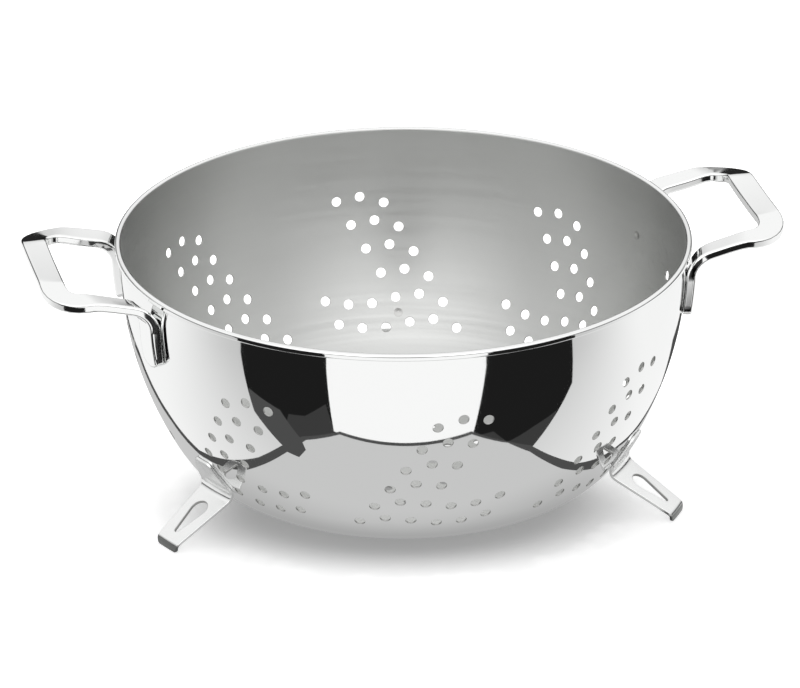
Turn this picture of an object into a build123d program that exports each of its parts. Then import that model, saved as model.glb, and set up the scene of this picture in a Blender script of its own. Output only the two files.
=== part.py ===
from build123d import *
from math import asin, atan2, cos, degrees, hypot, radians, sin, sqrt, tan
import os

# Steel colander: a perforated bowl with a rolled rim, two bar handles and three folded feet.
# Millimetres, +Z up, floor at Z 0, bowl axis on Z, handles along X. Angles are degrees from +X.
# Depths are counted down from the rim plane, and turns are how far a wall leans from the vertical.

# Bowl, on its outer skin
rim_radius = 120.0
rim_proud = 1.9
rim_roll_depth = 2.8
rim_lip_round = 0.6
sheet = 0.7
widest_depth = 8.0
wall_arc_radius = 153.0
wall_turn = 30.5
knuckle_radius = 38.0
knuckle_turn = 87.0
base_clearance = 2.0

# Perforations, in slanted groups on the wall and a rosette in the base
hole_diameter = 4.3
hole_groups = 8
first_group_angle = 93.0
hole_pitch_across = 10.4
hole_pitch_down = 10.9
row_slant = 5.9
first_row_depth = 31.1
short_row_columns = (1, 2, 3)
long_row_columns = (-2, -1, 0, 1, 2, 3)
short_rows = 4
long_rows = 2
column_drop_shares = {-2: 0.08, -1: 0.33, 0: 0.36, 1: 0.14, 2: 0.0, 3: 0.30}
pattern_shift = 2.5
pattern_shift_angle = -12.7
rosette_rings = 3
rosette_first = 6
rosette_pitch = 12.5

# Handles, of flat bar
handle_angles = (0.0, 180.0)
bar_width = 10.4
bar_thickness = 4.0
handle_half_width = 40.8
handle_reach = 36.8
handle_corner = 17.0
handle_slope = 13.3
arm_drop = 4.5
arm_straight = 25.5
arm_flare = 2.5
arm_flare_round = 30.0
handle_bend = 8.5
tab_depth = 31.0
tab_end_round = 6.0

# Feet, of folded sheet
foot_angles = (78.6, 203.9, 325.3)
foot_sheet = 1.3
foot_top_depth = 73.0
foot_top_half_width = 4.6
foot_top_round = 3.8
foot_half_width = 11.3
foot_shoulder_round = 4.0
foot_bend = 3.2
foot_reach = 25.7
toe_half_width = 6.3
toe_bend = 1.0
toe_lip = 2.2
toe_corner = 1.5
slot_radius = 4.1
slot_end_radius = 1.2
slot_start = 8.2
slot_length = 12.3

# Spot welds
weld_diameter = 4.0
weld_depth = 0.6
weld_dimple = 0.15
handle_weld_depth = 26.5
handle_weld_spread = 36.5
foot_weld_depth = 80.0

# How far a tool runs past what it cuts, and how far round the bowl a piece is swept before it is cut
overrun = 6.0
handle_sweep = 90.0
foot_sweep = 60.0

# Derived sizes of the bowl profile, in the plane of radius and height
wall_radius = rim_radius - rim_proud
wall_end_radius = wall_radius - wall_arc_radius * (1 - cos(radians(wall_turn)))
wall_end_depth = widest_depth + wall_arc_radius * sin(radians(wall_turn))
knuckle_centre_radius = wall_end_radius - knuckle_radius * cos(radians(wall_turn))
knuckle_centre_depth = wall_end_depth - knuckle_radius * sin(radians(wall_turn))
base_arc_radius = knuckle_radius + knuckle_centre_radius / cos(radians(knuckle_turn))
base_centre_depth = knuckle_centre_depth - knuckle_centre_radius * tan(radians(knuckle_turn))
rim_height = base_centre_depth + base_arc_radius + base_clearance
wall_centre = (wall_radius - wall_arc_radius, rim_height - widest_depth)
knuckle_centre = (knuckle_centre_radius, rim_height - knuckle_centre_depth)
base_centre = (0, rim_height - base_centre_depth)
handle_end = rim_radius + handle_reach
toe_radius = wall_end_radius + foot_reach


def polar(centre, radius, angle):
    """Point at an angle in degrees on a circle."""
    return (centre[0] + radius * cos(radians(angle)), centre[1] + radius * sin(radians(angle)))


def turn_at(depth):
    """Turn of the wall where its outer skin is this deep."""
    return degrees(asin((depth - widest_depth) / wall_arc_radius))


def around(angle, solid):
    """Copy of a solid turned about the bowl's axis."""
    return Rot(0, 0, angle) * solid


def revolved(edges, arc=360.0):
    """Solid swept about the bowl's axis by a closed profile, centred on the +X side."""
    profile = Plane.XZ * make_face(edges)
    return around(-arc / 2, revolve(profile, Axis.Z, arc))


def wall_plane(turn, angle):
    """Plane touching the wall's outer skin, with x round the bowl, y up the wall and z outward."""
    radius, height = polar(wall_centre, wall_arc_radius, -turn)
    east, north = cos(radians(angle)), sin(radians(angle))
    outward, down = cos(radians(turn)), sin(radians(turn))
    origin = (radius * east, radius * north, height)
    normal = (outward * east, outward * north, -down)
    return Plane(origin=origin, x_dir=(-north, east, 0), z_dir=normal)


def base_plane(radius, angle):
    """Plane touching the base's outer skin, its z axis square to the sheet and downward."""
    lean = asin(radius / base_arc_radius)
    east, north = cos(radians(angle)), sin(radians(angle))
    height = base_centre[1] - base_arc_radius * cos(lean)
    origin = (radius * east, radius * north, height)
    return Plane(origin=origin, z_dir=(sin(lean) * east, sin(lean) * north, -cos(lean)))


# Bowl
def bowl_skin(inset):
    """Arcs of one skin, from the axis out and up to the widest point."""
    base_radius = base_arc_radius - inset
    corner_radius = knuckle_radius - inset
    side_radius = wall_arc_radius - inset
    return [
        CenterArc(base_centre, base_radius, -90, 90 - knuckle_turn),
        CenterArc(knuckle_centre, corner_radius, -knuckle_turn, knuckle_turn - wall_turn),
        CenterArc(wall_centre, side_radius, -wall_turn, wall_turn),
    ]


def rim_roll():
    """Edges of the rolled rim, from the outer skin over the crest to the inner skin."""
    crest_round = (rim_proud + sheet) / 2
    inner_radius = wall_radius - sheet
    widest_height = rim_height - widest_depth
    fold_height = rim_height - rim_roll_depth
    lip_start = (rim_radius - rim_lip_round, fold_height)
    lip_end = (rim_radius, fold_height + rim_lip_round)
    crest_outer = (rim_radius, rim_height - crest_round)
    crest_inner = (inner_radius, rim_height - crest_round)
    lip_centre = (rim_radius - rim_lip_round, fold_height + rim_lip_round)
    crest_centre = (rim_radius - crest_round, rim_height - crest_round)
    return [
        Line((wall_radius, widest_height), (wall_radius, fold_height)),
        Line((wall_radius, fold_height), lip_start),
        CenterArc(lip_centre, rim_lip_round, -90, 90),
        Line(lip_end, crest_outer),
        CenterArc(crest_centre, crest_round, 0, 180),
        Line(crest_inner, (inner_radius, widest_height)),
    ]


def bowl_shell():
    """Drawn sheet from the base to the rolled rim, before it is perforated."""
    outer_pole = polar(base_centre, base_arc_radius, -90)
    inner_pole = polar(base_centre, base_arc_radius - sheet, -90)
    closing = [Line(inner_pole, outer_pole)]
    return revolved(bowl_skin(0) + rim_roll() + bowl_skin(sheet) + closing)


def punch(plane):
    """Tool that punches one hole through the sheet."""
    return plane * Cylinder(hole_diameter / 2, 2 * overrun)


def group_punches(group_angle):
    """Tools for one slanted group, short rows above and long rows below."""
    tools = []
    row_turn = turn_at(first_row_depth)
    row_angle = group_angle
    for row in range(short_rows + long_rows):
        columns = short_row_columns if row < short_rows else long_row_columns
        for column in columns:
            drop = column_drop_shares[column] * hole_pitch_across
            turn = row_turn + degrees(drop / wall_arc_radius)
            radius = polar(wall_centre, wall_arc_radius, -turn)[0]
            angle = row_angle - degrees((column - 1) * hole_pitch_across / radius)
            off_centre = pattern_shift * sin(radians(angle - pattern_shift_angle))
            tools.append(punch(wall_plane(turn, angle - degrees(off_centre / radius))))
        row_turn += degrees(hole_pitch_down / wall_arc_radius)
        row_radius = polar(wall_centre, wall_arc_radius, -row_turn)[0]
        row_angle -= degrees(row_slant / row_radius)
    return tools


def rosette_punches():
    """Tools for the base, one in the middle and rings round it."""
    tools = [punch(base_plane(0, 0))]
    for ring in range(1, rosette_rings + 1):
        holes = ring * rosette_first
        for step in range(holes):
            tools.append(punch(base_plane(ring * rosette_pitch, step * 360 / holes)))
    return tools


# Handles
def handle_band():
    """Bar bent from the wall tab into the rising arm, swept round the bowl."""
    outer_bend = handle_bend + bar_thickness
    rise = (cos(radians(handle_slope)), sin(radians(handle_slope)))
    above = (-rise[1], rise[0])
    # The bend touches the wall's skin and the top face's line, which crosses the wall at arm_drop.
    root = (wall_radius, rim_height - arm_drop)
    centre_offset = sum((wall_centre[i] - root[i]) * above[i] for i in (0, 1))
    reach = wall_arc_radius + outer_bend
    bend_turn = degrees(asin((outer_bend + centre_offset) / reach)) - handle_slope
    bend_centre = polar(wall_centre, reach, -bend_turn)
    sweep_angle = handle_slope - 90 + bend_turn
    top_start = polar(bend_centre, outer_bend, 90 + handle_slope)
    under_start = polar(bend_centre, handle_bend, 90 + handle_slope)
    length = handle_end + overrun - bend_centre[0]
    top_end = (top_start[0] + length * rise[0], top_start[1] + length * rise[1])
    under_end = (under_start[0] + length * rise[0], under_start[1] + length * rise[1])
    # The tab runs past its depth here, and is rounded to it later.
    tab_turn = turn_at(tab_depth + overrun)
    tab_outer_radius = wall_arc_radius + bar_thickness
    edges = [
        CenterArc(wall_centre, wall_arc_radius, -tab_turn, tab_turn - bend_turn),
        CenterArc(bend_centre, outer_bend, 180 - bend_turn, sweep_angle),
        Line(top_start, top_end),
        Line(top_end, under_end),
        Line(under_end, under_start),
        CenterArc(bend_centre, handle_bend, 180 - bend_turn, sweep_angle),
        CenterArc(wall_centre, tab_outer_radius, -tab_turn, tab_turn - bend_turn),
        Line(polar(wall_centre, wall_arc_radius, -tab_turn), polar(wall_centre, tab_outer_radius, -tab_turn)),
    ]
    return revolved(edges, handle_sweep)


def handle_plan():
    """Top view of the bar, a U whose arms splay towards the wall."""
    half_bar = bar_width / 2
    side = handle_half_width - half_bar
    end = handle_end - half_bar
    flare_start = handle_end - arm_straight
    splay = side + (flare_start - wall_end_radius) * tan(radians(arm_flare))
    points = [
        (wall_end_radius, -splay),
        (flare_start, -side),
        (end, -side),
        (end, side),
        (flare_start, side),
        (wall_end_radius, splay),
    ]
    corner = handle_corner - half_bar
    centre_line = FilletPolyline(*points, radius=[arm_flare_round, corner, corner, arm_flare_round])
    return trace(centre_line, bar_width)


def tab_angle(spread, turn):
    """Angle round the bowl of a point on the wall this far beside the handle's axis."""
    return degrees(asin(spread / polar(wall_centre, wall_arc_radius, -turn)[0]))


def tab_end_cutter(side):
    """Tool that rounds the end of one tab."""
    turn = turn_at(tab_depth) - degrees(tab_end_round / wall_arc_radius)
    root = sqrt(wall_radius**2 - handle_half_width**2)
    splay = (handle_end - arm_straight - root) * tan(radians(arm_flare))
    spread = handle_half_width - bar_width / 2 + splay
    depth = 2 * (bar_thickness + overrun)
    drop = tab_end_round + 2 * overrun
    below = Pos(0, -drop / 2, 0) * Box(bar_width + 2 * overrun, drop, depth)
    return wall_plane(turn, side * tab_angle(spread, turn)) * (below - Cylinder(tab_end_round, depth))


def handle():
    """Handle on the +X side, with pockets for the spots fused into its tabs."""
    prism = extrude(handle_plan(), rim_height + handle_end)
    cutters = [tab_end_cutter(side) for side in (-1, 1)]
    pockets = [weld_pocket(place) for place in handle_weld_places(0)]
    return (handle_band() & prism) - cutters - pockets


# Feet
def foot_leg():
    """Centres of the bend and of the toe's bend, and the angle of the leg between them."""
    bend_centre = polar(wall_centre, wall_arc_radius + foot_bend + foot_sheet, -wall_turn)
    toe_centre = (toe_radius - toe_bend - foot_sheet, toe_lip)
    span = (toe_centre[0] - bend_centre[0], toe_centre[1] - bend_centre[1])
    # The leg is the tangent that passes between the bend's circle and the toe's circle.
    crossing = asin((foot_bend + foot_sheet + toe_bend) / hypot(*span))
    return bend_centre, toe_centre, degrees(atan2(span[1], span[0]) + crossing)


def foot_band():
    """Sheet folded from the wall plate out to the toe's lip, swept round the bowl."""
    bend_centre, toe_centre, leg_angle = foot_leg()
    wall_side_bend = foot_bend + foot_sheet
    toe_outer = toe_bend + foot_sheet
    bend_start = 180 - wall_turn
    bend_end = 270 + leg_angle
    toe_start = 90 + leg_angle
    top_turn = turn_at(foot_top_depth)
    plate_radius = wall_arc_radius + foot_sheet
    edges = [
        CenterArc(wall_centre, wall_arc_radius, -wall_turn, wall_turn - top_turn),
        Line(polar(wall_centre, wall_arc_radius, -top_turn), polar(wall_centre, plate_radius, -top_turn)),
        CenterArc(wall_centre, plate_radius, -wall_turn, wall_turn - top_turn),
        CenterArc(bend_centre, foot_bend, bend_start, bend_end - bend_start),
        Line(polar(bend_centre, foot_bend, bend_end), polar(toe_centre, toe_outer, toe_start)),
        CenterArc(toe_centre, toe_outer, 0, toe_start),
        Line((toe_radius, toe_lip), (toe_radius, 0)),
        Line((toe_radius, 0), (toe_radius - foot_sheet, 0)),
        Line((toe_radius - foot_sheet, 0), (toe_radius - foot_sheet, toe_lip)),
        CenterArc(toe_centre, toe_bend, 0, toe_start),
        Line(polar(toe_centre, toe_bend, toe_start), polar(bend_centre, wall_side_bend, bend_end)),
        CenterArc(bend_centre, wall_side_bend, bend_start, bend_end - bend_start),
    ]
    return revolved(edges, foot_sweep)


def foot_outline():
    """Front view of the foot, its plate above the bend and its tapering leg below."""
    top = rim_height - foot_top_depth
    shoulder = rim_height - wall_end_depth
    points = [
        (-toe_half_width, 0),
        (-foot_half_width, shoulder),
        (-foot_top_half_width, top),
        (foot_top_half_width, top),
        (foot_half_width, shoulder),
        (toe_half_width, 0),
    ]
    rounds = [toe_corner, foot_shoulder_round, foot_top_round, foot_top_round, foot_shoulder_round, toe_corner]
    return make_face(FilletPolyline(*points, radius=rounds, close=True))


def foot_slot():
    """Tool for the leg's slot, square to the leg, wide near the bend and narrow near the toe."""
    bend_centre, _, leg_angle = foot_leg()
    leg_start = polar(bend_centre, foot_bend, 270 + leg_angle)
    normal = (-sin(radians(leg_angle)), 0, cos(radians(leg_angle)))
    leg_plane = Plane(origin=(leg_start[0], 0, leg_start[1]), x_dir=(0, 1, 0), z_dir=normal)
    wide = CenterArc((0, -slot_start), slot_radius, 0, 360)
    narrow = CenterArc((0, -slot_start - slot_length), slot_end_radius, 0, 360)
    return extrude(leg_plane * make_hull([wide, narrow]), foot_sheet + overrun, both=True)


def foot():
    """Foot on the +X side, with a pocket for the spot fused into its plate."""
    prism = extrude(Plane.YZ * foot_outline(), toe_radius + overrun)
    return (foot_band() & prism) - foot_slot() - weld_pocket(foot_weld_place(0))


# Spot welds
def weld_rod(place, inner_end):
    """Round rod square to the sheet, from inside the bowl to its end in the piece outside."""
    length = weld_depth - inner_end
    middle = Pos(0, 0, inner_end + length / 2)
    return place * middle * Cylinder(weld_diameter / 2, length)


def weld_nugget(place):
    """Fused spot, sunk a little below the bowl's inner skin."""
    return weld_rod(place, weld_dimple - sheet)


def weld_pocket(place):
    """Space that a nugget fills in the sheet and in the piece behind it."""
    return weld_rod(place, -sheet - overrun)


def handle_weld_places(handle_angle):
    """Planes of the two spot welds of one handle."""
    turn = turn_at(handle_weld_depth)
    offset = tab_angle(handle_weld_spread, turn)
    return [wall_plane(turn, handle_angle + side * offset) for side in (-1, 1)]


def foot_weld_place(foot_angle):
    """Plane of the spot weld of one foot."""
    return wall_plane(turn_at(foot_weld_depth), foot_angle)


# Assembly
def bowl():
    """Bowl with its wall groups, its base rosette and the spots fused into it."""
    tools = rosette_punches()
    for group in range(hole_groups):
        tools += group_punches(first_group_angle - group * 360 / hole_groups)
    tools += [weld_pocket(place) for angle in handle_angles for place in handle_weld_places(angle)]
    tools += [weld_pocket(foot_weld_place(angle)) for angle in foot_angles]
    return bowl_shell() - tools


def main():
    """Writes each piece as a node of its own."""
    bar_handle = handle()
    sheet_foot = foot()
    handle_places = [place for angle in handle_angles for place in handle_weld_places(angle)]
    foot_places = [foot_weld_place(angle) for angle in foot_angles]
    nodes = {
        "bowl": bowl(),
        "handle_right": around(handle_angles[0], bar_handle),
        "handle_left": around(handle_angles[1], bar_handle),
        "foot_back": around(foot_angles[0], sheet_foot),
        "foot_front_left": around(foot_angles[1], sheet_foot),
        "foot_front_right": around(foot_angles[2], sheet_foot),
        "handle_welds": Compound([weld_nugget(place) for place in handle_places]),
        "foot_welds": Compound([weld_nugget(place) for place in foot_places]),
    }
    os.makedirs("parts", exist_ok=True)
    for name, shape in nodes.items():
        export_step(shape, f"parts/{name}.step")


main()
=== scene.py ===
from math import acos, asin, atan2, cos, hypot, pi, radians, sin, tan

import bpy
import numpy as np
from mathutils import Matrix, Vector
from mathutils.geometry import delaunay_2d_cdt


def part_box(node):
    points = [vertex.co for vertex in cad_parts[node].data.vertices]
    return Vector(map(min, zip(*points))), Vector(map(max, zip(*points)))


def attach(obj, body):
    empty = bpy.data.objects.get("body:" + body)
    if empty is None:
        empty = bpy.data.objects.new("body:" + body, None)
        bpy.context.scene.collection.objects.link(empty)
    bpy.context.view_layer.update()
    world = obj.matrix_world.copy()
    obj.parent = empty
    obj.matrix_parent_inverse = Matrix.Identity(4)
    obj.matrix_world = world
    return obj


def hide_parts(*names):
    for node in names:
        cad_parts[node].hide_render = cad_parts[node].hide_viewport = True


# A footed steel colander, dressed with polished and brushed steel.
# Metres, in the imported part's own frame. Angles are degrees from +X.
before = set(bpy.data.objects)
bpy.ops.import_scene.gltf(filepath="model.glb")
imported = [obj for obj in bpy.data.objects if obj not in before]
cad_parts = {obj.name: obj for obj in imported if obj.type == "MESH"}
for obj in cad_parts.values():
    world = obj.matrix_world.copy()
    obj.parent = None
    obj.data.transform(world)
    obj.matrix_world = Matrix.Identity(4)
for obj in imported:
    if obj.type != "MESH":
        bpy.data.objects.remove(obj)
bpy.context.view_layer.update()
mm = 0.001

# Bowl, whose rim comes from the frame and whose skins repeat the part's arcs
bowl_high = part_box("bowl")[1]
rim_height = bowl_high.z
rim_radius = bowl_high.x
rim_proud = 1.9 * mm
rim_roll_depth = 2.8 * mm
rim_lip_round = 0.6 * mm
rim_fold_ease = 0.3 * mm
sheet = 0.7 * mm
widest_depth = 8.0 * mm
wall_arc_radius = 153.0 * mm
wall_turn = radians(30.5)
knuckle_radius = 38.0 * mm
knuckle_turn = radians(87.0)
wall_radius = rim_radius - rim_proud

# Perforations
hole_diameter = 4.3 * mm
hole_groups = 8
first_group_angle = 93.0
hole_pitch_across = 10.4 * mm
hole_pitch_down = 10.9 * mm
row_slant = 5.9 * mm
first_row_depth = 31.1 * mm
short_row_columns = (1, 2, 3)
long_row_columns = (-2, -1, 0, 1, 2, 3)
short_rows = 4
long_rows = 2
column_drop_shares = {-2: 0.08, -1: 0.33, 0: 0.36, 1: 0.14, 2: 0.0, 3: 0.30}
pattern_shift = 2.5 * mm
pattern_shift_angle = -12.7
rosette_rings = 3
rosette_first = 6
rosette_pitch = 12.5 * mm
hole_edge = 0.12 * mm
hole_sides = 24

# Handles
handle_angles = {"handle_right": 0.0, "handle_left": 180.0}
bar_width = 10.4 * mm
bar_thickness = 4.0 * mm
bar_edge = 1.1 * mm
grip_lean = radians(8.0)
corner_lean = radians(15.0)
arm_lean = radians(4.0)
lean_fade = 14.0 * mm
corner_droop = 1.9 * mm
droop_spread = 13.0 * mm
handle_half_width = 40.8 * mm
handle_reach = 36.8 * mm
handle_corner = 17.0 * mm
handle_slope = radians(13.3)
arm_drop = 4.5 * mm
arm_straight = 25.5 * mm
arm_flare = radians(2.5)
arm_flare_round = 30.0 * mm
handle_bend = 8.5 * mm
tab_depth = 31.0 * mm
tab_end_round = 6.0 * mm

# Feet
foot_angles = {"foot_back": 78.6, "foot_front_left": 203.9, "foot_front_right": 325.3}
foot_sheet = 1.3 * mm
foot_edge = 0.3 * mm
foot_top_depth = 73.0 * mm
foot_top_half_width = 4.6 * mm
foot_top_round = 3.8 * mm
foot_half_width = 11.3 * mm
foot_shoulder_round = 4.0 * mm
foot_bend = 3.2 * mm
foot_reach = 25.7 * mm
toe_half_width = 6.3 * mm
toe_bend = 1.0 * mm
toe_lip = 2.2 * mm
toe_corner = 1.5 * mm
slot_radius = 4.1 * mm
slot_end_radius = 1.2 * mm
slot_start = 8.2 * mm
slot_length = 12.3 * mm

# Spot welds
weld_diameter = 4.0 * mm
weld_depth = 0.6 * mm
weld_dimple = 0.25 * mm
handle_weld_depth = 26.5 * mm
handle_weld_spread = 36.5 * mm
foot_weld_depth = 80.0 * mm

# Camera. The rim's centre shows at rim_pixel
picture_width, picture_height = 800, 688
sensor_width = 36.0
focal_pixels = 5771.4
camera_distance = 2.4
camera_bearing = -12.75
camera_elevation = 23.43
camera_roll = 0.32
rim_pixel = (403.35, 235.44)

# Fineness of the meshes
tiny = 0.01 * mm
nudge = 1e-12
chart_scale = 1 / mm
chart_tolerance = 1e-5
rim_sides = 240
lip_steps, crest_steps = 4, 12
ring_gap = 4.0 * mm
chart_spacing = 5.0 * mm
least_around = 8
hole_margin_share = 1.6
bar_spacing = 1.2 * mm
bar_lanes = 7
tip_spots = 21
foot_spacing = 1.0 * mm
foot_samples = 2000
slot_wide_spots, slot_narrow_spots = 17, 9
weld_sides = 32
weld_ring_shares = (0.2, 0.4, 0.6, 0.75, 0.88, 0.96, 1.0)

# Light: levels of what only the steel shows, of the room, the lamp and the floor
white_level = 1.0
side_levels = (0.58, 0.96)
side_fade = (-0.20, 0.03)
corner_level = 0.045
black_level = 0.012
line_level = 0.075
table_levels = (0.40, 0.60)
room_levels = ((0.0, 0.02), (0.16, 0.02), (0.19, 0.70), (0.5, 0.98))
front_way = (-0.2173, -0.9605, 0.1736)
front_levels = ((0.0, 0.62), (0.5, 0.70), (0.9, 1.0), (0.97, 1.0), (0.99, 0.04))
front_strength = 1.6
soft_level = 0.55
lamp_size = 0.5
lamp_power = 9.0
lamp_place = (-0.03, 0.25, 1.25)
floor_half = 6.0
floor_colour = 0.84
# Floor's glow for camera rays, low under the bowl as a painted shadow and high outside
floor_glow_and_painted_shadow = (0.08, 0.66)
shade_middle = (-0.0085, -0.0356, 0)
shade_reach = (0.091, 0.055, 1)
shade_fade = (0.67, 1.33)

# Cards near the floor that only the steel shows. Each has its height and corners in millimetres, in the
# photograph's directions: x to its right, y away from it
cards_far, cards_back = 1600, 500
left_card = (-7, (
    (-90, -122), (-150, -128), (-285, -182), (-cards_far, -720),
    (-cards_far, cards_back), (-170, cards_back), (-168, 90), (-120, -8),
))
right_card = (-7, (
    (98, -50), (120, 30), (129, 90), (168, 110), (168, cards_back), (cards_far, cards_back),
    (cards_far, -800), (290, -170), (200, -128), (95, -115),
))
black_card = (-9, (
    (-cards_far, -cards_far), (cards_far, -cards_far), (cards_far, cards_far), (-cards_far, cards_far),
))
left_corner_card = (-8, ((-66, -170), (-100, -214), (-109, -177), (-125, -164), (-98, -118)))
right_corner_card = (-8, ((66, -168), (86, -162), (89, -140), (121, -134), (152, -124), (95, -110)))
front_card = (-7, ((-70, -174), (-1100, -1920), (1100, -1700), (66, -170)))
stick_card = (-4, ((-92, -119), (-79, -123), (-79, -134), (-92, -144)))
stick_root_card = (-7.5, ((-92, -119), (-92, -144), (-136, -160), (-190, -146), (-150, -125)))
edge_card = (-6, (
    (-102, -92), (-99, -121), (-92, -147), (-64, -176), (66, -174), (90, -137), (100, -118), (103, -85),
    (105, -60), (118, -10), (130, 80), (170, 110), (170, cards_back),
    (-180, cards_back), (-173, 92), (-141, 16), (-118, -26),
))
table_card = (-5, (
    (-97, -70), (-93, -98), (-90, -122), (-86, -145), (-62, -171), (64, -169), (87, -137), (94, -113),
    (96, -74), (101, -41), (115, -10), (121, 80), (100, 110), (100, cards_back),
    (-160, cards_back), (-160, 90), (-133, 14), (-113, -25),
))

# Steel: colours, ranges of roughness, heights of waves, and how close noise is, in cells a metre
mirror_colour = (0.93, 0.935, 0.93)
mirror_roughness = (0.02, 0.05)
mirror_smears, mirror_waves = 30, 22
mirror_wave = 0.03 * mm
satin_colour = (0.65, 0.655, 0.645)
satin_roughness = (0.30, 0.40)
satin_anisotropy = 0.7
satin_turn = 0.25
satin_below = 1.0 * mm
satin_from = 0.09
line_closeness = 30.0
wide_lines, fine_lines = 12, 60
line_depth = 0.006 * mm
bar_smears, bar_waves = 90, 45
handle_colour, handle_roughness, handle_wave = (0.95, 0.955, 0.95), (0.04, 0.09), 0.03 * mm
foot_colour, foot_roughness, foot_wave = (0.9, 0.905, 0.9), (0.16, 0.26), 0.03 * mm
cut_colour, cut_roughness, cut_wave = (0.5, 0.5, 0.49), (0.3, 0.45), 0.02 * mm
weld_colour, weld_roughness, weld_wave = (0.55, 0.55, 0.54), (0.26, 0.36), 0.03 * mm
# Painted shade on the toes: its colour, and the heights over which it fades out towards the floor
toe_shade_colour = (0.16, 0.165, 0.16)
toe_shade_low, toe_shade_high = 2.6 * mm, 4.0 * mm
noise_middle = (0.3, 0.7)


# Profiles
class Arc:
    """Stretch of a profile on a circle, with its normal outward for side 1 and inward for -1."""

    def __init__(self, centre, radius, start, end, side=1):
        self.centre, self.radius, self.start, self.side = np.array(centre), radius, start, side
        self.sweep = end - start
        self.length = abs(self.sweep) * radius

    def place(self, along):
        angle = self.start + self.sweep * along / self.length
        ray = np.stack([np.cos(angle), np.sin(angle)], -1)
        return self.centre + self.radius * ray, self.side * ray


class Straight:
    """Straight stretch of a profile, with its normal to the right of its way for side 1."""

    def __init__(self, start, end, side=1):
        self.start = np.array(start)
        way = np.array(end) - self.start
        self.length = hypot(*way)
        self.way = way / self.length
        self.normal = side * np.array([self.way[1], -self.way[0]])

    def place(self, along):
        return self.start + np.outer(along, self.way), np.tile(self.normal, (len(along), 1))


class Profile:
    """Stretches joined end to end. Points are found by their way along it and height above it."""

    def __init__(self, *stretches):
        self.stretches = stretches
        self.starts = np.cumsum([0] + [s.length for s in stretches])
        self.length = self.starts[-1]

    def place(self, along):
        along = np.asarray(along, float)
        point, normal = np.zeros((len(along), 2)), np.zeros((len(along), 2))
        index = np.clip(np.searchsorted(self.starts, along, "right") - 1, 0, len(self.stretches) - 1)
        for k, stretch in enumerate(self.stretches):
            here = index == k
            point[here], normal[here] = stretch.place(along[here] - self.starts[k])
        return point, normal

    def at(self, along, height):
        point, normal = self.place(along)
        return point + np.asarray(height)[:, None] * normal


def polar(centre, radius, angle):
    """Point this far from a centre, at an angle."""
    return np.array([centre[0] + radius * cos(angle), centre[1] + radius * sin(angle)])


# Bowl's arcs, in the plane of radius and height
wall_centre = np.array([wall_radius - wall_arc_radius, rim_height - widest_depth])
wall_end = polar(wall_centre, wall_arc_radius, -wall_turn)
knuckle_centre = polar(wall_centre, wall_arc_radius - knuckle_radius, -wall_turn)
base_arc_radius = knuckle_radius + knuckle_centre[0] / cos(knuckle_turn)
base_centre = np.array([0, knuckle_centre[1] + knuckle_centre[0] * tan(knuckle_turn)])
bowl_profile = Profile(
    Arc(base_centre, base_arc_radius, -pi / 2, -knuckle_turn),
    Arc(knuckle_centre, knuckle_radius, -knuckle_turn, -wall_turn),
    Arc(wall_centre, wall_arc_radius, -wall_turn, 0),
    Straight(wall_centre + (wall_arc_radius, 0), wall_centre + (wall_arc_radius, widest_depth)),
)
bowl_top = bowl_profile.starts[3]


def spun(flat, angle):
    """Points in space from radius and height and an angle about the bowl's axis, in radians."""
    return np.stack([flat[:, 0] * np.cos(angle), flat[:, 0] * np.sin(angle), flat[:, 1]], -1)


def bowl_place(spots, height):
    """Bowl's skin in space, from a flat chart whose radius is the way along the profile."""
    along = np.hypot(spots[:, 0], spots[:, 1])
    return spun(bowl_profile.at(along, height - sheet), np.arctan2(spots[:, 1], spots[:, 0]))


def turn_at(depth):
    """Turn of the wall's arc at this depth below the rim."""
    return asin((depth - widest_depth) / wall_arc_radius)


def wall_along(turn):
    """Way along the bowl's profile at this turn of the wall."""
    return bowl_top - turn * wall_arc_radius


# Edges and outlines of sheets
def rounded_edge(thickness, edge, steps=4):
    """Rings round a plain edge: how far out, how high, and how far the normal leans outward."""
    leans = [pi / 2 * k / steps for k in range(steps + 1)]
    upper = [(edge * (sin(a) - 1), thickness - edge * (1 - cos(a)), a) for a in leans]
    return upper + [(out, thickness - high, pi - lean) for out, high, lean in reversed(upper)]


def rim_edge():
    """Rings of the rolled rim above the widest point, from the outer skin over to the inner one."""
    fold = widest_depth - rim_roll_depth
    crest = (rim_proud + sheet) / 2
    out = sheet + rim_proud
    rings = [(0, sheet, 0), (fold - rim_fold_ease, sheet, 0), (fold, sheet, 0), (fold, sheet + tiny, -pi / 2)]
    rings += [(fold, out - rim_lip_round, -pi / 2)]
    for k in range(1, lip_steps + 1):
        a = -pi / 2 + pi / 2 * k / lip_steps
        rings.append((fold + rim_lip_round * (1 + sin(a)), out - rim_lip_round * (1 - cos(a)), a))
    for k in range(crest_steps + 1):
        a = pi * k / crest_steps
        rings.append((widest_depth - crest + crest * sin(a), crest + crest * cos(a), a))
    return rings + [(0, 0, pi)]


def circle_loop(along, angle, radius):
    """Round hole in the bowl's chart, widened by an offset into the sheet."""
    ring_radius = bowl_profile.at(np.array([along]), np.array([0.0]))[0, 0]
    turns = np.linspace(0, 2 * pi, hole_sides, endpoint=False)

    def at(out):
        size = radius - out
        way = along + size * np.sin(turns)
        if along < size:
            return np.stack([way * 0 + size * np.cos(turns), size * np.sin(turns)], -1)
        bearing = angle + size * np.cos(turns) / ring_radius
        return np.stack([way * np.cos(bearing), way * np.sin(bearing)], -1)

    return at


def outline_loop(points):
    """Closed outline that moves outward by an offset, square to itself."""
    points = np.array(points)
    way = np.roll(points, -1, 0) - np.roll(points, 1, 0)
    way /= np.linalg.norm(way, axis=1)[:, None]
    side = np.stack([way[:, 1], -way[:, 0]], -1)
    area = np.sum(points[:, 0] * np.roll(points[:, 1], -1) - points[:, 1] * np.roll(points[:, 0], -1))
    side *= np.sign(area)
    return lambda out: points + out * side


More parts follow.
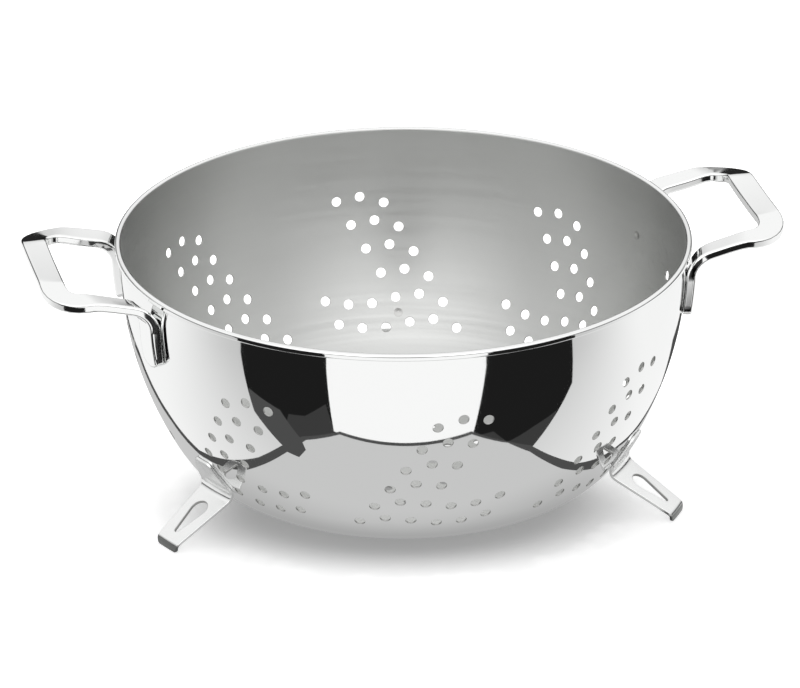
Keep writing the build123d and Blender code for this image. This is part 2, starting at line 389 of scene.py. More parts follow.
def inside(spots, polygon):
    """Which spots lie in a polygon."""
    x, y = spots[:, 0], spots[:, 1]
    hit = np.zeros(len(spots), bool)
    for (x0, y0), (x1, y1) in zip(polygon, np.roll(polygon, -1, 0)):
        if y0 != y1:
            cross = (y0 > y) != (y1 > y)
            hit ^= cross & (x < (x1 - x0) * (y - y0) / (y1 - y0) + x0)
    return hit


# Meshes of sheets
def chart_triangles(chart, firsts, starts):
    """Triangles of a flat chart within its first outline and outside the others, which are its holes."""
    owner = np.full(len(chart), -1)
    edges = []
    for k, ring in enumerate(firsts):
        index = np.arange(starts[k], starts[k + 1])
        owner[index] = k
        edges += list(zip(index.tolist(), np.roll(index, -1).tolist()))
    spots = [Vector(p * chart_scale) for p in chart]
    found = delaunay_2d_cdt(spots, edges, [], 0, chart_tolerance, True)
    origin = [ids[0] for ids in found[3]]
    flat = np.array([[origin[i] for i in face] for face in found[2]])
    own = owner[flat]
    in_hole = (own[:, 0] > 0) & (own[:, 0] == own[:, 1]) & (own[:, 1] == own[:, 2])
    return flat[~in_hole & inside(chart[flat].mean(1), firsts[0])]


class Skin:
    """Sheet bent into space, at any height over its chart."""

    def __init__(self, place):
        self.place = place

    def at(self, spots, height):
        return self.place(spots, np.full(len(spots), height))

    def normal(self, spots, height):
        """Normal of the skin at this height, from its slopes along both ways of the chart."""
        along = self.at(spots + (tiny, 0), height) - self.at(spots - (tiny, 0), height)
        aside = self.at(spots + (0, tiny), height) - self.at(spots - (0, tiny), height)
        rise = self.at(spots, height + tiny) - self.at(spots, height - tiny)
        square = np.cross(along, aside)
        square *= np.sign(np.sum(square * rise, 1))[:, None]
        return square / np.linalg.norm(square, axis=1)[:, None]

    def ring(self, loop, out, high, lean):
        """Points and normals of a ring round an edge, this far out and high, with leaning normals."""
        spots = loop(out)
        up = self.normal(spots, high)
        ahead = self.at(loop(out + tiny), high) - self.at(loop(out - tiny), high)
        ahead -= np.sum(ahead * up, 1)[:, None] * up
        ahead /= np.linalg.norm(ahead, axis=1)[:, None]
        return self.at(spots, high), cos(lean) * up + sin(lean) * ahead


def sheet_mesh(name, border, holes, fill, place, thickness):
    """Closed mesh of a shaped sheet: two skins on one flat chart, joined by rings round every edge.

    border and each hole are (loop, rings), fill is more chart points, and place puts them in space."""
    loops = [border] + holes
    firsts = [loop(rings[0][0]) for loop, rings in loops]
    chart = np.concatenate(firsts + [fill])
    starts = np.cumsum([0] + [len(ring) for ring in firsts])
    flat = chart_triangles(chart, firsts, starts)
    skin = Skin(place)
    points = [skin.at(chart, thickness), skin.at(chart, 0.0)]
    normals = [skin.normal(chart, thickness), -skin.normal(chart, 0.0)]
    faces = [flat, flat + len(chart)]
    kinds = [0, 0]
    count = 2 * len(chart)
    for k, (loop, rings) in enumerate(loops):
        top = np.arange(starts[k], starts[k + 1])
        before = top
        for out, high, lean in rings[1:-1]:
            ring_points, ring_normals = skin.ring(loop, out, high, lean)
            points.append(ring_points)
            normals.append(ring_normals)
            after = np.arange(count, count + len(top))
            count += len(top)
            faces += ring_faces(before, after)
            before = after
        faces += ring_faces(before, top + len(chart))
        kinds += [int(k > 0)] * (len(faces) - len(kinds))
    kinds = np.concatenate([np.full(len(part), kind) for part, kind in zip(faces, kinds)])
    return shaded_piece(name, np.concatenate(points), np.concatenate(normals), np.concatenate(faces), kinds)


def shaded_piece(name, points, normals, faces, kinds):
    """Object whose faces look the way of its normals, with those of kind 1 in its second material."""
    a, b, c = points[faces[:, 0]], points[faces[:, 1]], points[faces[:, 2]]
    facing = np.sum(np.cross(b - a, c - a) * normals[faces].mean(1), 1)
    faces[facing < 0] = faces[facing < 0][:, ::-1]
    mesh = bpy.data.meshes.new(name)
    mesh.from_pydata(points.tolist(), [], faces.tolist())
    mesh.shade_smooth()
    mesh.polygons.foreach_set("material_index", kinds)
    mesh.normals_split_custom_set_from_vertices(normals.tolist())
    return linked(name, mesh)


def linked(name, data):
    """New object of this data, in the scene."""
    piece = bpy.data.objects.new(name, data)
    bpy.context.collection.objects.link(piece)
    return piece


def ring_faces(before, after):
    """Triangles between two rings of as many points."""
    before_next, after_next = np.roll(before, -1), np.roll(after, -1)
    return [np.stack([before, before_next, after_next], -1), np.stack([before, after_next, after], -1)]


# Bowl
def clear_of(spots, loops, gap):
    """Spots that stand off every loop's middle by its size and a gap."""
    keep = np.ones(len(spots), bool)
    for centre, size in loops:
        keep &= np.hypot(*(spots - centre).T) > size + gap
    return spots[keep]


def hole_places():
    """Way along the profile and angle in radians of every perforation."""
    places = [(0.0, 0.0)]
    for ring in range(1, rosette_rings + 1):
        holes = ring * rosette_first
        lean = asin(ring * rosette_pitch / base_arc_radius)
        places += [(lean * base_arc_radius, 2 * pi * step / holes) for step in range(holes)]
    for group in range(hole_groups):
        row_turn = turn_at(first_row_depth)
        row_angle = radians(first_group_angle - group * 360 / hole_groups)
        for row in range(short_rows + long_rows):
            for column in short_row_columns if row < short_rows else long_row_columns:
                turn = row_turn + column_drop_shares[column] * hole_pitch_across / wall_arc_radius
                radius = polar(wall_centre, wall_arc_radius, -turn)[0]
                angle = row_angle - (column - 1) * hole_pitch_across / radius
                shift = pattern_shift * sin(angle - radians(pattern_shift_angle))
                places.append((wall_along(turn), angle - shift / radius))
            row_turn += hole_pitch_down / wall_arc_radius
            row_angle -= row_slant / polar(wall_centre, wall_arc_radius, -row_turn)[0]
    return places


def weld_places():
    """Way along the profile and angle of the handle welds, and of the foot welds."""
    turn = turn_at(handle_weld_depth)
    spread = asin(handle_weld_spread / polar(wall_centre, wall_arc_radius, -turn)[0])
    handles = [
        (wall_along(turn), radians(angle) + side * spread)
        for angle in handle_angles.values()
        for side in (-1, 1)
    ]
    feet = [(wall_along(turn_at(foot_weld_depth)), radians(angle)) for angle in foot_angles.values()]
    return handles, feet


def make_bowl():
    """Bowl of one drawn sheet, with its rolled rim, perforations and places for the welds."""
    holes, middles = [], []
    rounded = rounded_edge(sheet, hole_edge, 2)
    plain = [(0, sheet, 0), (0, sheet, pi / 2), (0, 0, pi / 2), (0, 0, pi)]
    for along, angle in hole_places():
        holes.append((circle_loop(along, angle, hole_diameter / 2), rounded))
        middles.append((along * np.array([cos(angle), sin(angle)]), hole_diameter / 2))
    for along, angle in sum(weld_places(), []):
        holes.append((circle_loop(along, angle, weld_diameter / 2), plain))
        middles.append((along * np.array([cos(angle), sin(angle)]), weld_diameter / 2))
    rings = []
    for k in range(1, int(bowl_top / ring_gap)):
        around = max(least_around, round(2 * pi * k * ring_gap / chart_spacing))
        turns = np.linspace(0, 2 * pi, around, endpoint=False) + k
        rings.append(k * ring_gap * np.stack([np.cos(turns), np.sin(turns)], -1))
    fill = clear_of(np.concatenate(rings), [(m, hole_margin_share * s) for m, s in middles], mm)
    turns = np.linspace(0, 2 * pi, rim_sides, endpoint=False)
    ring = np.stack([np.cos(turns), np.sin(turns)], -1)
    border = (lambda out: (bowl_top + out) * ring, rim_edge())
    return sheet_mesh("bowl_sheet", border, holes, fill, bowl_place, sheet)


# Handles
def handle_plan_half():
    """Centre line of half a handle seen from above, from the middle of the grip to the wall."""
    half_bar = bar_width / 2
    side, end = handle_half_width - half_bar, rim_radius + handle_reach - half_bar
    corner = handle_corner - half_bar
    flare_start = rim_radius + handle_reach - arm_straight
    bow = arm_flare_round * tan(arm_flare / 2)
    arm_end = np.array([flare_start + bow, side])
    arm_way = np.array([-cos(arm_flare), sin(arm_flare)])
    flare_end = np.array([flare_start, side]) + bow * arm_way
    flare_centre = arm_end + (0, arm_flare_round)
    return Profile(
        Straight((end, 0), (end, side - corner)),
        Arc((end - corner, side - corner), corner, 0, pi / 2),
        Straight((end - corner, side), arm_end),
        Arc(flare_centre, arm_flare_round, -pi / 2, -pi / 2 - arm_flare, -1),
        Straight(flare_end, flare_end + arm_way * (flare_end[0] - wall_end[0])),
    )


def handle_band():
    """Wall-side face of the bar from its bend down the wall, with its normal into the bar."""
    outer_bend = handle_bend + bar_thickness
    above = np.array([-sin(handle_slope), cos(handle_slope)])
    root = np.array([wall_radius, rim_height - arm_drop])
    centre_offset = float((wall_centre - root) @ above)
    reach = wall_arc_radius + outer_bend
    bend_turn = asin((outer_bend + centre_offset) / reach) - handle_slope
    centre = polar(wall_centre, reach, -bend_turn)
    return centre, Profile(
        Arc(centre, outer_bend, pi / 2 + handle_slope, pi - bend_turn, -1),
        Arc(wall_centre, wall_arc_radius, -bend_turn, -turn_at(tab_depth)),
    )


def risen(way, middle):
    """Smooth rise from 0 to 1 as the way along the bar passes a middle."""
    share = np.clip((way - middle) / lean_fade + 0.5, 0, 1)
    return share**2 * (3 - 2 * share)


class Bar:
    """Flat bar of a handle. Its chart has the way along its middle, and the way across it."""

    def __init__(self, angle):
        bend_centre, self.band = handle_band()
        outer_bend = handle_bend + bar_thickness
        self.bend_start = bend_centre + outer_bend * np.array([-sin(handle_slope), cos(handle_slope)])
        self.plan = handle_plan_half()
        self.arm = self.plan.stretches[-1]
        self.arm_begins = self.plan.starts[-2]
        self.steps = int(self.plan.length / bar_spacing)
        self.turn = np.array(Matrix.Rotation(radians(angle), 3, "Z").transposed())

    def arm_meets(self, radius, across):
        """Way along the arm at which a line beside its middle is this far from the bowl's axis."""
        base = self.arm.start + np.outer(across, self.arm.normal)
        along = base @ self.arm.way
        return self.arm_begins - along - np.sqrt(radius**2 - np.sum(base**2, 1) + along**2)

    def sunk(self, way, across, bend_way):
        """How far the bar's top lies lower than level across, from its lean and its drooping corners."""
        corner, arm = self.plan.starts[1:3]
        lean = grip_lean + (corner_lean - grip_lean) * risen(way, corner)
        lean += (arm_lean - corner_lean) * risen(way, arm)
        lean *= 1 - risen(way, bend_way - lean_fade)
        off_corner = np.clip(np.abs(way - (corner + arm) / 2) / droop_spread, 0, 1)
        return across * np.tan(lean) + corner_droop * (1 - off_corner**2) ** 2

    def place(self, spots, height):
        """Bar in space, this high off its wall side."""
        way, side, across = np.abs(spots[:, 0]), np.sign(spots[:, 0] + nudge), spots[:, 1]
        point, normal = self.plan.place(way)
        flat = point + across[:, None] * normal
        radius = np.hypot(flat[:, 0], flat[:, 1])
        top = self.bend_start[1] + (radius - self.bend_start[0]) * tan(handle_slope)
        space = np.stack([flat[:, 0], side * flat[:, 1], top - height / cos(handle_slope)], -1)
        bend_way = self.arm_meets(self.bend_start[0], across)
        space[:, 2] -= self.sunk(way, across, bend_way)
        bent = way > bend_way
        if bent.any():
            face = self.band.at(way[bent] - bend_way[bent], height[bent])
            along = self.arm_meets(face[:, 0], across[bent]) - self.arm_begins
            line = self.arm.start + np.outer(along, self.arm.way) + np.outer(across[bent], self.arm.normal)
            space[bent] = np.stack([line[:, 0], side[bent] * line[:, 1], face[:, 1]], -1)
        return space @ self.turn

    def tip(self):
        """Rounded end of a tab on the chart."""
        widest = asin(bar_width / 2 / tab_end_round)
        across = tab_end_round * np.sin(np.linspace(-widest, widest, tip_spots))
        rounding = tab_end_round - np.sqrt(tab_end_round**2 - across**2)
        reach = self.arm_meets(self.bend_start[0], across) + self.band.length
        return np.stack([reach - rounding, across], -1)

    def outline(self):
        """Closed outline of the whole bar on the chart."""
        half, tip = bar_width / 2, self.tip()
        share = np.linspace(0, 1, self.steps)
        outer = np.stack([-tip[-1, 0] + share * 2 * tip[-1, 0], share * 0 + half], -1)
        inner = np.stack([-tip[0, 0] + share * 2 * tip[0, 0], share * 0 - half], -1)
        return np.concatenate([outer[:-1], tip[::-1][:-1], inner[::-1][:-1], (tip * (-1, 1))[:-1]])

    def fill(self):
        """Spots of the chart within the outline."""
        half, reach = bar_width / 2 - bar_edge, self.tip()[:, 0].min()
        ways = np.linspace(-reach, reach, self.steps)
        lanes = np.linspace(-half, half, bar_lanes)[1:-1]
        return np.array([(way, lane) for way in ways[3:-3] for lane in lanes])


def make_handle(name, angle):
    """Handle of flat bar, with softened edges and tabs that lie on the wall."""
    bar = Bar(angle)
    border = (outline_loop(bar.outline()), rounded_edge(bar_thickness, bar_edge))
    return sheet_mesh(name + "_bar", border, [], bar.fill(), bar.place, bar_thickness)


# Feet
def foot_profile():
    """Wall-side face of a foot from the plate's top to the toe's lip, with its normal outward."""
    wall_side_bend = foot_bend + foot_sheet
    toe_outer = toe_bend + foot_sheet
    toe_radius = wall_end[0] + foot_reach
    bend_centre = polar(wall_centre, wall_arc_radius + wall_side_bend, -wall_turn)
    toe_centre = np.array([toe_radius - toe_outer, toe_lip])
    span = toe_centre - bend_centre
    leg = atan2(span[1], span[0]) + asin((wall_side_bend + toe_bend) / hypot(*span))
    leg_start = polar(bend_centre, wall_side_bend, leg - pi / 2)
    leg_end = polar(toe_centre, toe_bend, leg + pi / 2)
    return Profile(
        Arc(wall_centre, wall_arc_radius, -turn_at(foot_top_depth), -wall_turn),
        Arc(bend_centre, wall_side_bend, pi - wall_turn, 1.5 * pi + leg, -1),
        Straight(leg_start, leg_end, -1),
        Arc(toe_centre, toe_bend, leg + pi / 2, 0),
        Straight((toe_radius - foot_sheet, toe_lip), (toe_radius - foot_sheet, 0), -1),
    )


def filleted(points, rounds, steps=8):
    """Closed outline of straight lines whose corners are rounded."""
    points = [np.array(p) for p in points]
    outline = []
    for k, corner in enumerate(points):
        to_last = points[k - 1] - corner
        to_next = points[(k + 1) % len(points)] - corner
        to_last, to_next = to_last / np.linalg.norm(to_last), to_next / np.linalg.norm(to_next)
        half = acos(float(to_last @ to_next)) / 2
        middle = to_last + to_next
        centre = corner + middle / np.linalg.norm(middle) * rounds[k] / sin(half)
        start = corner + to_last * rounds[k] / tan(half) - centre
        turn = pi - 2 * half
        if to_last[0] * to_next[1] - to_last[1] * to_next[0] > 0:
            turn = -turn
        for step in range(steps + 1):
            a = turn * step / steps
            spin = np.array([[cos(a), -sin(a)], [sin(a), cos(a)]])
            outline.append(centre + spin @ start)
    return np.array(outline)


def divided(outline, gap):
    """Closed outline with points added so that none are further apart than the gap."""
    result = []
    for here, there in zip(outline, np.roll(outline, -1, 0)):
        count = max(1, int(np.ceil(np.linalg.norm(there - here) / gap)))
        result += [here + (there - here) * k / count for k in range(count)]
    return np.array(result)


def chart_arc(middle, radius, turns):
    """Spots of a circle on a foot's chart, whose middle is this far along."""
    return np.stack([middle + radius * np.cos(turns), radius * np.sin(turns)], -1)


def foot_outline(profile):
    """Foot's outline on its chart, from the corners that it has in front view."""
    top, shoulder = rim_height - foot_top_depth, wall_end[1]
    left = [(-toe_half_width, 0), (-foot_half_width, shoulder), (-foot_top_half_width, top)]
    right = [(-across, height) for across, height in left[::-1]]
    rounds = [toe_corner, foot_shoulder_round, foot_top_round]
    front = divided(filleted(left + right, rounds + rounds[::-1]), foot_spacing)
    ways = np.linspace(0, profile.length, foot_samples)
    heights = profile.at(ways, np.full(len(ways), foot_sheet / 2))[:, 1]
    return np.stack([np.interp(front[:, 1], heights[::-1], ways[::-1]), front[:, 0]], -1)


def slot_outline(profile):
    """Tapered slot of a foot on its chart."""
    lean = asin((slot_radius - slot_end_radius) / slot_length)
    start = profile.starts[2] + slot_start
    wide = np.linspace(pi / 2 - lean, 1.5 * pi + lean, slot_wide_spots)
    narrow = np.linspace(-pi / 2 + lean, pi / 2 - lean, slot_narrow_spots)
    ends = [chart_arc(start, slot_radius, wide), chart_arc(start + slot_length, slot_end_radius, narrow)]
    return divided(np.concatenate(ends), foot_spacing)


def make_foot(name, angle):
    """Foot of folded sheet, with a slotted leg and a small turned-down toe."""
    profile = foot_profile()
    turn = np.array(Matrix.Rotation(radians(angle), 3, "Z").transposed())

    def place(spots, height):
        face = profile.at(spots[:, 0], height)
        x = np.sqrt(face[:, 0] ** 2 - spots[:, 1] ** 2)
        return np.stack([x, spots[:, 1], face[:, 1]], -1) @ turn

    gap = foot_spacing
    border, slot = outline_loop(foot_outline(profile)), outline_loop(slot_outline(profile))
    grid = np.array([
        (way, across)
        for way in np.arange(gap, profile.length - gap / 2, gap)
        for across in np.arange(-foot_half_width, foot_half_width, gap)
    ])
    keep = inside(grid, border(-gap)) & ~inside(grid, slot(gap))
    rings = rounded_edge(foot_sheet, foot_edge, 3)
    holes = [(lambda out: slot(-out), rings)]
    return sheet_mesh(name + "_sheet", (border, rings), holes, grid[keep], place, foot_sheet)


# Spot welds
def make_weld(name, places, into):
    """Fused spots with a shallow dimple inside the bowl, each a small closed disc."""
    points, faces = [], []
    turns = np.linspace(0, 2 * pi, weld_sides, endpoint=False)
    radius = weld_diameter / 2
    rows = [(share * radius, weld_dimple * (1 - share**2) ** 1.5) for share in weld_ring_shares]
    rows += [(radius, into)]
    for along, angle in places:
        start = len(points)
        base = bowl_profile.at(np.array([along]), np.array([0.0]))[0, 0]
        points.append(bowl_chart(along, 0, angle, weld_dimple))
        for size, height in rows:
            for t in turns:
                points.append(bowl_chart(along, size * sin(t), angle + size * cos(t) / base, height))
        points.append(bowl_chart(along, 0, angle, into))
        faces += disc_faces(start, len(rows))
    mesh = bpy.data.meshes.new(name)
    mesh.from_pydata(points, [], faces)
    mesh.shade_smooth()
    mesh.update()
    return linked(name, mesh)


def disc_faces(start, rows):
    """Faces of one closed disc: its first middle, this many rows of spots, and its last middle."""
    faces = []
    last = start + 1 + rows * weld_sides
    for k in range(weld_sides):
        n = (k + 1) % weld_sides
        faces.append((start, start + 1 + k, start + 1 + n))
        for row in range(rows - 1):
            a = start + 1 + row * weld_sides
            faces.append((a + k, a + weld_sides + k, a + weld_sides + n, a + n))
        a = last - weld_sides
        faces.append((a + k, last, a + n))
    return faces


def bowl_chart(along, further, angle, height):
    """Point of the bowl's sheet this high above its inner skin."""
    flat = bowl_profile.at(np.array([along + further]), np.array([height - sheet]))
    return spun(flat, np.array([angle]))[0].tolist()


# Shader nodes
def surface(name):
    """New material with its node tree emptied down to the output."""
    material = bpy.data.materials.new(name)
    material.use_nodes = True
    tree = material.node_tree
    tree.nodes.clear()
    return material, tree


def add(tree, kind, operation=None, **values):
    """New node, with an operation and values for its inputs, by name or as i0, i1 by number."""
    node = tree.nodes.new(kind)
    if operation:
        node.operation = operation
    for key, value in values.items():
        numbered = key[0] == "i" and key[1:].isdigit()
        node.inputs[int(key[1:]) if numbered else key].default_value = value
    return node


def levels(tree, steps):
    """Ramp of greys, from pairs of place and level."""
    node = tree.nodes.new("ShaderNodeValToRGB")
    elements = node.color_ramp.elements
    while len(elements) < len(steps):
        elements.new(0.5)
    for element, (place, level) in zip(elements, steps):
        element.position = place
        element.color = (level, level, level, 1)
    return node


# Studio
def make_camera():
    """Camera at the photograph's angle, aimed so that the rim's centre shows where it does there."""
    data = bpy.data.cameras.new("camera")
    data.sensor_width = sensor_width
    data.lens = focal_pixels * sensor_width / picture_width
    camera = linked("camera", data)
    level = Matrix.Rotation(radians(camera_bearing), 4, "Z")
    nod = Matrix.Rotation(radians(90 - camera_elevation), 4, "X")
    roll = Matrix.Rotation(radians(-camera_roll), 4, "Z")
    pan = Matrix.Rotation(atan2(rim_pixel[0] - picture_width / 2, focal_pixels), 4, "Y")
    tilt = Matrix.Rotation(-atan2(picture_height / 2 - rim_pixel[1], focal_pixels), 4, "X")
    aim = level @ nod
    back = aim @ Vector((0, 0, camera_distance))
    camera.matrix_world = Matrix.Translation(Vector((0, 0, rim_height)) + back) @ aim @ roll @ pan @ tilt
    bpy.context.scene.camera = camera


def photo_place(tree, **values):
    """Place in the photograph's directions, from a middle and in shares of a reach where they are given."""
    place = add(tree, "ShaderNodeNewGeometry")
    mapping = add(tree, "ShaderNodeMapping", **values)
    mapping.vector_type = "TEXTURE"
    mapping.inputs["Rotation"].default_value = (0, 0, radians(camera_bearing))
    tree.links.new(place.outputs["Position"], mapping.inputs["Vector"])
    return mapping.outputs[0]


def faded(tree, value, steps, results):
    """Value that goes smoothly from its first result to its second between two steps of another."""
    fade = add(tree, "ShaderNodeMapRange", i1=steps[0], i2=steps[1], i3=results[0], i4=results[1])
    fade.interpolation_type = "SMOOTHSTEP"
    tree.links.new(value, fade.inputs["Value"])
    return fade.outputs["Result"]


def side_light(tree):
    """Value of the side cards, dimmer towards the photograph's near corners."""
    split = add(tree, "ShaderNodeSeparateXYZ")
    tree.links.new(photo_place(tree), split.inputs[0])
    return faded(tree, split.outputs["Y"], side_fade, side_levels)


def under_bowl(tree, results):
    """Value with its first result in the bowl's soft shadow and its second outside."""
    away = add(tree, "ShaderNodeVectorMath", "LENGTH")
    tree.links.new(photo_place(tree, Location=shade_middle, Scale=shade_reach), away.inputs[0])
    return faded(tree, away.outputs["Value"], shade_fade, results)


def table_light(tree):
    """Value of the table's card, dimmer in the bowl's shadow."""
    return under_bowl(tree, table_levels)


def make_card(name, shape, level):
    """Flat card near the floor that only glossy rays see, of one level or one worked out in its material."""
    height, corners = shape
    mesh = bpy.data.meshes.new(name)
    mesh.from_pydata([(x * mm, y * mm, height * mm) for x, y in corners], [], [range(len(corners))])
    material, tree = surface(name)
    glow = add(tree, "ShaderNodeEmission")
    if callable(level):
        tree.links.new(level(tree), glow.inputs["Strength"])
    else:
        glow.inputs["Strength"].default_value = level
    tree.links.new(glow.outputs[0], add(tree, "ShaderNodeOutputMaterial").inputs[0])
    mesh.materials.append(material)
    piece = linked(name, mesh)
    piece.rotation_euler.z = radians(camera_bearing)
    piece.visible_camera = False
    piece.visible_diffuse = False
    piece.visible_shadow = False
    piece.visible_transmission = False


def make_cards():
    """Table with its dark edge, white front sheet, black gaps at both front corners and white sides."""
    make_card("card_left", left_card, side_light)
    make_card("card_right", right_card, side_light)
    make_card("card_black", black_card, black_level)
    make_card("card_corner_left", left_corner_card, corner_level)
    make_card("card_corner_right", right_corner_card, corner_level)
    make_card("card_front", front_card, white_level)
    make_card("card_stick", stick_card, line_level)
    make_card("card_stick_root", stick_root_card, line_level)
    make_card("card_edge", edge_card, line_level)
    make_card("card_table", table_card, table_light)


def make_floor():
    """White floor with a soft shadow, whose own glow fades out under the object as a painted shadow over the
    real one.
    """
    half = floor_half
    corners = [(-half, -half, 0), (half, -half, 0), (half, half, 0), (-half, half, 0)]
    mesh = bpy.data.meshes.new("floor")
    mesh.from_pydata(corners, [], [range(len(corners))])
    material, tree = surface("floor")
    link = tree.links.new
    paint = add(tree, "ShaderNodeBsdfDiffuse", Color=(floor_colour, floor_colour, floor_colour, 1))
    path = add(tree, "ShaderNodeLightPath")
    strength = add(tree, "ShaderNodeMath", "MULTIPLY")
    glow = add(tree, "ShaderNodeEmission")
    both = add(tree, "ShaderNodeAddShader")
    # The glow fades out under the bowl: a painted shadow on top of the real one
    link(under_bowl(tree, floor_glow_and_painted_shadow), strength.inputs[0])
    link(path.outputs["Is Camera Ray"], strength.inputs[1])
    link(strength.outputs[0], glow.inputs["Strength"])
    link(paint.outputs[0], both.inputs[0])
    link(glow.outputs[0], both.inputs[1])
    link(both.outputs[0], add(tree, "ShaderNodeOutputMaterial").inputs[0])
    mesh.materials.append(material)
    floor = linked("floor", mesh)
    floor.visible_glossy = False


def make_world():
    """Soft even light, and for the steel a room with a white ceiling and a dim side behind the camera."""
    world = bpy.data.worlds.new("studio")
    bpy.context.scene.world = world
    world.use_nodes = True
    tree = world.node_tree
    tree.nodes.clear()
    link = tree.links.new
    path = add(tree, "ShaderNodeLightPath")
    way = add(tree, "ShaderNodeTexCoord")
    split = add(tree, "ShaderNodeSeparateXYZ")
    height = levels(tree, room_levels)
    towards = add(tree, "ShaderNodeVectorMath", "DOT_PRODUCT", i1=front_way)
    front = levels(tree, front_levels)
    strength = add(tree, "ShaderNodeMath", "MULTIPLY", i1=front_strength)
    room, soft, seen = (add(tree, "ShaderNodeBackground") for _ in range(3))
    link(way.outputs["Generated"], split.inputs[0])
    link(split.outputs["Z"], height.inputs[0])
    link(way.outputs["Generated"], towards.inputs[0])
    link(towards.outputs["Value"], front.inputs[0])
    link(front.outputs[0], strength.inputs[0])
    link(height.outputs[0], room.inputs["Color"])
    link(strength.outputs[0], room.inputs["Strength"])
    soft.inputs["Color"].default_value = (soft_level, soft_level, soft_level, 1)
    seen.inputs["Color"].default_value = (1, 1, 1, 1)
    first, second = add(tree, "ShaderNodeMixShader"), add(tree, "ShaderNodeMixShader")
    link(path.outputs["Is Glossy Ray"], first.inputs[0])
    link(soft.outputs[0], first.inputs[1])
    link(room.outputs[0], first.inputs[2])
    link(path.outputs["Is Camera Ray"], second.inputs[0])
    link(first.outputs[0], second.inputs[1])
    link(seen.outputs[0], second.inputs[2])
    link(second.outputs[0], add(tree, "ShaderNodeOutputWorld").inputs[0])


def make_lamp():
    """Wide soft lamp overhead, a little behind and to the left."""
    data = bpy.data.lights.new("top_lamp", "AREA")
    data.shape = "DISK"
    data.size = lamp_size
    data.energy = lamp_power
    lamp = linked("top_lamp", data)
    lamp.visible_glossy = False
    lamp.location = lamp_place
    lamp.rotation_euler = Vector(lamp.location).to_track_quat("Z", "Y").to_euler()


# Materials
def metal(tree, colour):
    """Principled shader of bare metal."""
    shader = add(tree, "ShaderNodeBsdfPrincipled", Metallic=1.0)
    shader.inputs["Base Color"].default_value = (*colour, 1)
    return shader


def noise(tree, vector, scale, detail=3.0):
    """Noise of a vector, this many cells a metre."""
    node = add(tree, "ShaderNodeTexNoise", Scale=scale, Detail=detail)
    tree.links.new(vector, node.inputs["Vector"])
    return node.outputs["Fac"]


def spread(tree, value, results):
    """Middle part of a noise, stretched to a range."""
    low, high = noise_middle
    node = add(tree, "ShaderNodeMapRange", i1=low, i2=high, i3=results[0], i4=results[1])
    tree.links.new(value, node.inputs["Value"])
    return node.outputs["Result"]


def bump(tree, height, distance):
    """Normal of a surface raised by a height from 0 to 1 times a distance."""
    node = add(tree, "ShaderNodeBump", Strength=1.0, Distance=distance)
    tree.links.new(height, node.inputs["Height"])
    return node.outputs["Normal"]


def turned_lines(tree):
    """Coordinates for brushing that runs round the bowl's axis on wall and base alike."""
    place = add(tree, "ShaderNodeTexCoord")
    split = add(tree, "ShaderNodeSeparateXYZ")
    flat = add(tree, "ShaderNodeVectorMath", "MULTIPLY", i1=(1, 1, 0))
    radius = add(tree, "ShaderNodeVectorMath", "LENGTH")
    line = add(tree, "ShaderNodeMath", "ADD")
    close = add(tree, "ShaderNodeMath", "MULTIPLY", i1=line_closeness)
    joined = add(tree, "ShaderNodeCombineXYZ")
    link = tree.links.new
    link(place.outputs["Object"], split.inputs[0])
    link(place.outputs["Object"], flat.inputs[0])
    link(flat.outputs[0], radius.inputs[0])
    link(split.outputs["Z"], line.inputs[0])
    link(radius.outputs["Value"], line.inputs[1])
    link(line.outputs[0], close.inputs[0])
    link(split.outputs["X"], joined.inputs["X"])
    link(split.outputs["Y"], joined.inputs["Y"])
    link(close.outputs[0], joined.inputs["Z"])
    return place, joined.outputs[0]


def inner_side(tree, place):
    """Value of 1 on the bowl's inside, where the normal looks to the rim's middle, and else 0."""
    inward = add(tree, "ShaderNodeVectorMath", "SUBTRACT", i0=(0, 0, rim_height - satin_below))
    facing = add(tree, "ShaderNodeVectorMath", "DOT_PRODUCT")
    within = add(tree, "ShaderNodeMath", "GREATER_THAN", i1=satin_from)
    link = tree.links.new
    link(place.outputs["Object"], inward.inputs[1])
    link(inward.outputs[0], facing.inputs[0])
    link(place.outputs["Normal"], facing.inputs[1])
    link(facing.outputs["Value"], within.inputs[0])
    return within.outputs[0]


def make_mirror(tree, place):
    """Polished outside of the bowl, with faint smears and slow waves."""
    shader = metal(tree, mirror_colour)
    smears = noise(tree, place.outputs["Object"], mirror_smears)
    waves = noise(tree, place.outputs["Object"], mirror_waves, 1.0)
    tree.links.new(spread(tree, smears, mirror_roughness), shader.inputs["Roughness"])
    tree.links.new(bump(tree, waves, mirror_wave), shader.inputs["Normal"])
    return shader


def make_satin(tree, lines):
    """Brushed inside of the bowl, whose highlights spread across the brushing."""
    shader = metal(tree, satin_colour)
    shader.inputs["Anisotropic"].default_value = satin_anisotropy
    shader.inputs["Anisotropic Rotation"].default_value = satin_turn
    tangent = add(tree, "ShaderNodeTangent")
    tangent.direction_type = "RADIAL"
    tangent.axis = "Z"
    wide, fine = noise(tree, lines, wide_lines, 2.0), noise(tree, lines, fine_lines, 2.0)
    both = add(tree, "ShaderNodeMath", "ADD")
    link = tree.links.new
    link(tangent.outputs[0], shader.inputs["Tangent"])
    link(wide, both.inputs[0])
    link(fine, both.inputs[1])
    link(spread(tree, wide, satin_roughness), shader.inputs["Roughness"])
    link(bump(tree, both.outputs[0], line_depth), shader.inputs["Normal"])
    return shader


def make_bowl_steel():
    """Mirror outside, brushed satin inside."""
    material, tree = surface("bowl_steel")
    place, lines = turned_lines(tree)
    mix = add(tree, "ShaderNodeMixShader")
    link = tree.links.new
    link(inner_side(tree, place), mix.inputs[0])
    link(make_mirror(tree, place).outputs[0], mix.inputs[1])
    link(make_satin(tree, lines).outputs[0], mix.inputs[2])
    link(mix.outputs[0], add(tree, "ShaderNodeOutputMaterial").inputs[0])
    return material


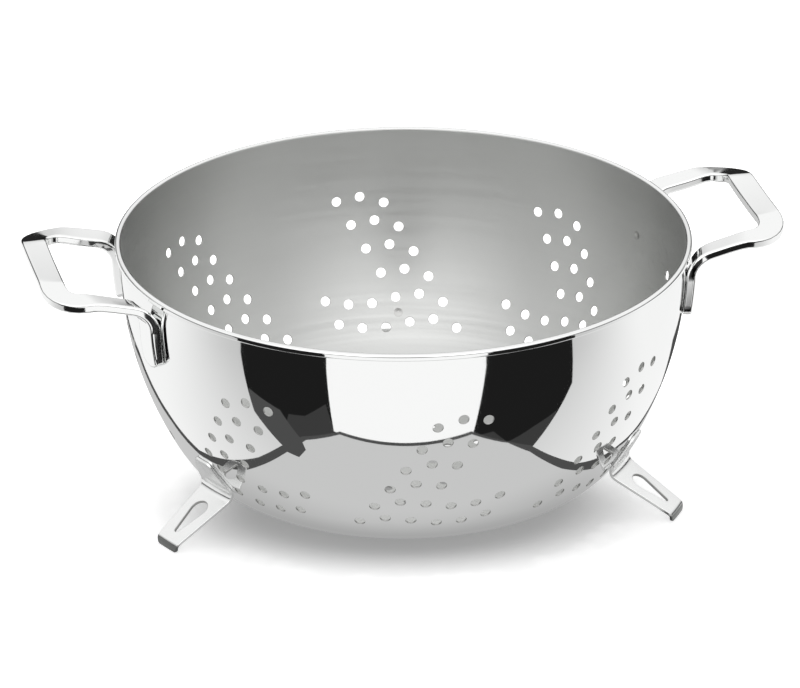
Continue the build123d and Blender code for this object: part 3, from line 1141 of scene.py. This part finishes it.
def make_bar_steel(name, colour, roughness, wave):
    """Polished steel with faint smears and a slight wave from its forming."""
    material, tree = surface(name)
    link = tree.links.new
    place = add(tree, "ShaderNodeTexCoord").outputs["Object"]
    shader = metal(tree, colour)
    link(spread(tree, noise(tree, place, bar_smears), roughness), shader.inputs["Roughness"])
    link(bump(tree, noise(tree, place, bar_waves, 2.0), wave), shader.inputs["Normal"])
    link(shader.outputs[0], add(tree, "ShaderNodeOutputMaterial").inputs[0])
    return material


def make_foot_steel():
    """Foot steel, with painted shade that darkens the toes towards the floor."""
    material = make_bar_steel("foot_steel", foot_colour, foot_roughness, foot_wave)
    tree = material.node_tree
    shader = tree.nodes["Principled BSDF"]
    split = add(tree, "ShaderNodeSeparateXYZ")
    tone = add(tree, "ShaderNodeMix")
    tone.data_type = "RGBA"
    tone.inputs["A"].default_value = (*toe_shade_colour, 1)
    tone.inputs["B"].default_value = (*foot_colour, 1)
    link = tree.links.new
    link(add(tree, "ShaderNodeTexCoord").outputs["Object"], split.inputs[0])
    # Painted shade: the toes turn dark near the floor
    link(faded(tree, split.outputs["Z"], (toe_shade_low, toe_shade_high), (0, 1)), tone.inputs["Factor"])
    link(tone.outputs["Result"], shader.inputs["Base Color"])
    return material


def dress(piece, materials, node):
    """Gives a piece its materials, the second for the edges of its holes, and lets it stand for its node."""
    for material in materials:
        piece.data.materials.append(material)
    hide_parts(node)
    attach(piece, "root")


# The whole scene
make_camera()
make_world()
make_lamp()
make_floor()
make_cards()
cut_steel = make_bar_steel("cut_steel", cut_colour, cut_roughness, cut_wave)
handle_steel = make_bar_steel("handle_steel", handle_colour, handle_roughness, handle_wave)
weld_steel = make_bar_steel("weld_steel", weld_colour, weld_roughness, weld_wave)
foot_steel = make_foot_steel()
dress(make_bowl(), (make_bowl_steel(), cut_steel), "bowl")
for node, angle in handle_angles.items():
    dress(make_handle(node, angle), (handle_steel,), node)
for node, angle in foot_angles.items():
    dress(make_foot(node, angle), (foot_steel, cut_steel), node)
for node, places in zip(("handle_welds", "foot_welds"), weld_places()):
    spots = make_weld(node[:-1] + "_spots", places, weld_depth + sheet)
    dress(spots, (weld_steel,), node)

bpy.context.scene.view_settings.view_transform = "Standard"
